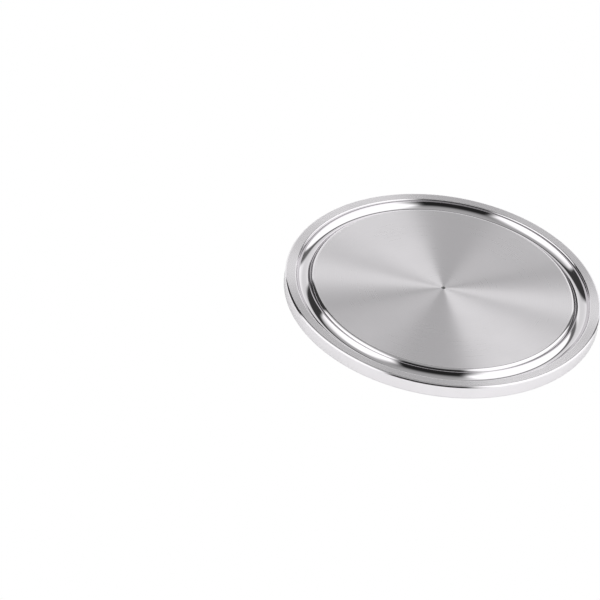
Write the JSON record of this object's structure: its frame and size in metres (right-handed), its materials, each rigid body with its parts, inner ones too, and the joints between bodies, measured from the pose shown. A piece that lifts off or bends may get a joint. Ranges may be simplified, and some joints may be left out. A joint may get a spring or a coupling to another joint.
{
  "type": "blind flange",
  "caption": "Solid round blind flange for a sanitary clamp union, with a turned sealing face, a half-round gasket groove and a bevelled back for the clamp's jaws.",
  "frame": {"origin": "centre of the sealing face, on the flange's axis", "axes": "+Z along the flange's axis, out of the sealing face, towards the ferrule that it closes; X and Y are free, because the flange is round"},
  "size_m": [0.064, 0.064, 0.0063],
  "materials": {
    "stainless_steel": "turned and polished"
  },
  "bodies": {
    "root": {"blind_flange": "stainless_steel"}
  },
  "joints": []
}
